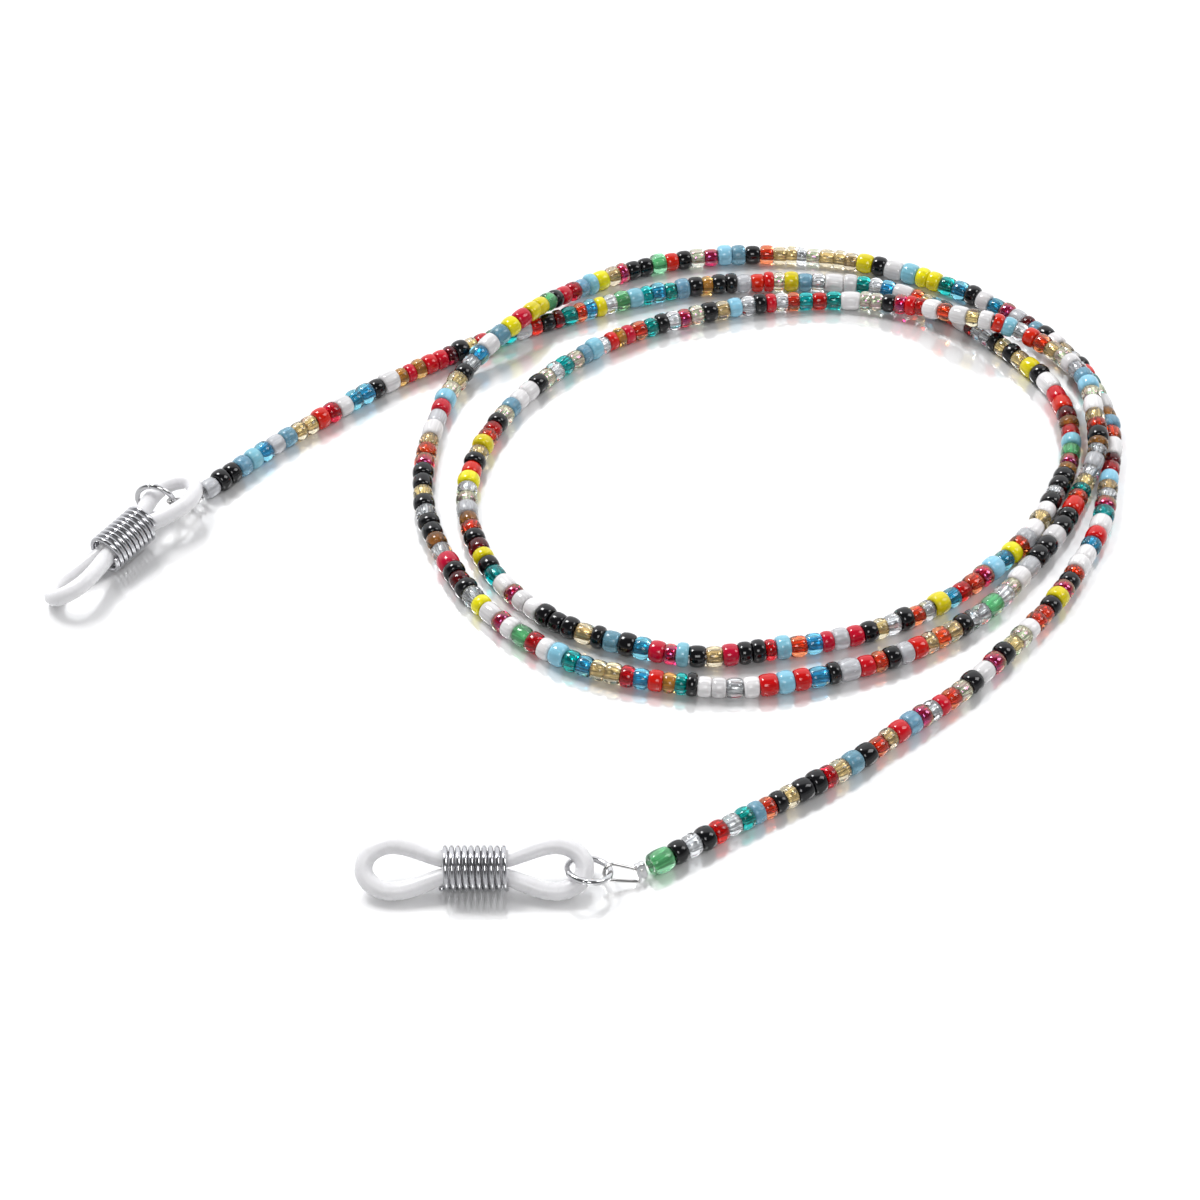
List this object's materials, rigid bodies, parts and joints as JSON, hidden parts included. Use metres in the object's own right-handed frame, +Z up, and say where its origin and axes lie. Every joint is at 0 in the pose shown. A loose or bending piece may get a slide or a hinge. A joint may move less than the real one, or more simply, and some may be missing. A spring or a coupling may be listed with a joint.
{
  "type": "beaded eyeglass chain",
  "caption": "Multicoloured glass bead chain that holds eyeglasses round the neck, with a coil-pinched clear silicone temple loop on a jump ring at each end.",
  "frame": {"origin": "on the table, under the middle of the box round the two temple loops and their rings", "axes": "+Z up from the table, +X towards the strand along the front temple loop, +Y away from the front temple loop towards the turns"},
  "size_m": [0.1234, 0.1076, 0.0051],
  "materials": {
    "bead_white": "opaque glass, glossy",
    "bead_black": "opaque glass, glossy",
    "bead_sky": "opaque glass, glossy",
    "bead_red": "opaque glass, glossy",
    "bead_aqua": "transparent coloured glass, glossy, silver-lined hole",
    "bead_yellow": "opaque glass, glossy",
    "bead_gold": "transparent coloured glass, glossy, silver-lined hole",
    "bead_green": "transparent coloured glass, glossy, silver-lined hole",
    "bead_teal": "transparent coloured glass, glossy, silver-lined hole",
    "bead_crystal": "transparent coloured glass, glossy, silver-lined hole",
    "silicone": "clear milky silicone, satin",
    "coil_steel": "bright plated spring wire",
    "ring_steel": "bright plated round wire",
    "crimp_metal": "bright plated thin tube, pressed flat",
    "beading_wire": "fine stranded beading wire in a clear coat"
  },
  "bodies": {
    "strand": {"beading_wire": "beading_wire", "bead_run_01": "bead_black", "bead_run_02": "bead_sky", "bead_run_03": "bead_red", "bead_run_04": "bead_aqua", "bead_run_05": "bead_yellow", "bead_run_06": "bead_gold", "bead_run_07": "bead_green", "bead_run_08": "bead_teal", "bead_run_09": "bead_crystal", "bead_run_10": "bead_white", "bead_run_11": "bead_black", "bead_run_12": "bead_sky", "bead_run_13": "bead_red", "bead_run_14": "bead_aqua", "bead_run_15": "bead_yellow", "bead_run_16": "bead_gold", "bead_run_17": "bead_green", "bead_run_18": "bead_teal", "bead_run_19": "bead_crystal", "bead_run_20": "bead_white", "bead_run_21": "bead_black", "bead_run_22": "bead_sky", "bead_run_23": "bead_red", "bead_run_24": "bead_aqua", "bead_run_25": "bead_yellow", "bead_run_26": "bead_gold", "back_wire_eye": "beading_wire", "back_crimp": "crimp_metal", "front_wire_eye": "beading_wire", "front_crimp": "crimp_metal"},
    "back_ring": {"back_jump_ring": "ring_steel"},
    "back_grip": {"back_silicone_loop": "silicone"},
    "back_coil": {"back_coil_spring": "coil_steel"},
    "back_bead_1": {"back_bead_1": "bead_white"},
    "back_bead_2": {"back_bead_2": "bead_black"},
    "back_bead_3": {"back_bead_3": "bead_black"},
    "back_bead_4": {"back_bead_4": "bead_sky"},
    "back_bead_5": {"back_bead_5": "bead_sky"},
    "back_bead_6": {"back_bead_6": "bead_aqua"},
    "front_ring": {"front_jump_ring": "ring_steel"},
    "front_grip": {"front_silicone_loop": "silicone"},
    "front_coil": {"front_coil_spring": "coil_steel"},
    "front_bead_1": {"front_bead_1": "bead_green"},
    "front_bead_2": {"front_bead_2": "bead_black"},
    "front_bead_3": {"front_bead_3": "bead_crystal"},
    "front_bead_4": {"front_bead_4": "bead_black"},
    "front_bead_5": {"front_bead_5": "bead_red"},
    "front_bead_6": {"front_bead_6": "bead_teal"}
  },
  "joints": [
    {"name": "back_ring_swing", "type": "hinge", "parent": "strand", "child": "back_ring", "pos_m": [-0.0186, 0.02632, 0.0025], "axis": [0, 0, 1], "range_deg": [-25, 25]},
    {"name": "back_grip_swivel", "type": "hinge", "parent": "back_ring", "child": "back_grip", "pos_m": [-0.02074, 0.0267, 0.0025], "axis": [0, 0, 1], "range_deg": [-25, 12]},
    {"name": "back_coil_slide", "type": "slide", "parent": "back_grip", "child": "back_coil", "axis": [0.5864, 0.8071, 0.0696], "range_m": [-0.002, 0.002], "deforming": ["back_silicone_loop"]},
    {"name": "back_bead_1_spin", "type": "hinge", "parent": "strand", "child": "back_bead_1", "pos_m": [-0.01512, 0.0304, 0.00122], "axis": [0.6537, 0.7567, 0], "continuous": true},
    {"name": "back_bead_2_spin", "type": "hinge", "parent": "strand", "child": "back_bead_2", "pos_m": [-0.01394, 0.03177, 0.00122], "axis": [0.6537, 0.7567, 0], "continuous": true},
    {"name": "back_bead_3_spin", "type": "hinge", "parent": "strand", "child": "back_bead_3", "pos_m": [-0.01285, 0.03302, 0.00122], "axis": [0.6537, 0.7567, 0], "continuous": true},
    {"name": "back_bead_4_spin", "type": "hinge", "parent": "strand", "child": "back_bead_4", "pos_m": [-0.01174, 0.03432, 0.00122], "axis": [0.6537, 0.7567, 0], "continuous": true},
    {"name": "back_bead_5_spin", "type": "hinge", "parent": "strand", "child": "back_bead_5", "pos_m": [-0.01062, 0.03561, 0.00122], "axis": [0.6537, 0.7567, 0], "continuous": true},
    {"name": "back_bead_6_spin", "type": "hinge", "parent": "strand", "child": "back_bead_6", "pos_m": [-0.00952, 0.03689, 0.00122], "axis": [0.6537, 0.7567, 0], "continuous": true},
    {"name": "front_ring_swing", "type": "hinge", "parent": "strand", "child": "front_ring", "pos_m": [0.03121, -0.0275, 0.00189], "axis": [-0.0374, 0.9517, -0.3046], "range_deg": [0, 70]},
    {"name": "front_grip_swivel", "type": "hinge", "parent": "front_ring", "child": "front_grip", "pos_m": [0.02906, -0.0275, 0.00215], "axis": [0.116, 0.3069, 0.9446], "range_deg": [-10, 60]},
    {"name": "front_coil_slide", "type": "slide", "parent": "front_grip", "child": "front_coil", "axis": [1, 0, 0], "range_m": [-0.002, 0.002], "deforming": ["front_silicone_loop"]},
    {"name": "front_bead_1_spin", "type": "hinge", "parent": "strand", "child": "front_bead_1", "pos_m": [0.03614, -0.02556, 0.00122], "axis": [0.8394, 0.5435, 0], "continuous": true},
    {"name": "front_bead_2_spin", "type": "hinge", "parent": "strand", "child": "front_bead_2", "pos_m": [0.03793, -0.0244, 0.00122], "axis": [0.8394, 0.5435, 0], "continuous": true},
    {"name": "front_bead_3_spin", "type": "hinge", "parent": "strand", "child": "front_bead_3", "pos_m": [0.0393, -0.02351, 0.00122], "axis": [0.8394, 0.5435, 0], "continuous": true},
    {"name": "front_bead_4_spin", "type": "hinge", "parent": "strand", "child": "front_bead_4", "pos_m": [0.04068, -0.02262, 0.00122], "axis": [0.8394, 0.5435, 0], "continuous": true},
    {"name": "front_bead_5_spin", "type": "hinge", "parent": "strand", "child": "front_bead_5", "pos_m": [0.04205, -0.02173, 0.00122], "axis": [0.8394, 0.5435, 0], "continuous": true},
    {"name": "front_bead_6_spin", "type": "hinge", "parent": "strand", "child": "front_bead_6", "pos_m": [0.0434, -0.02086, 0.00122], "axis": [0.8394, 0.5435, 0], "continuous": true}
  ]
}
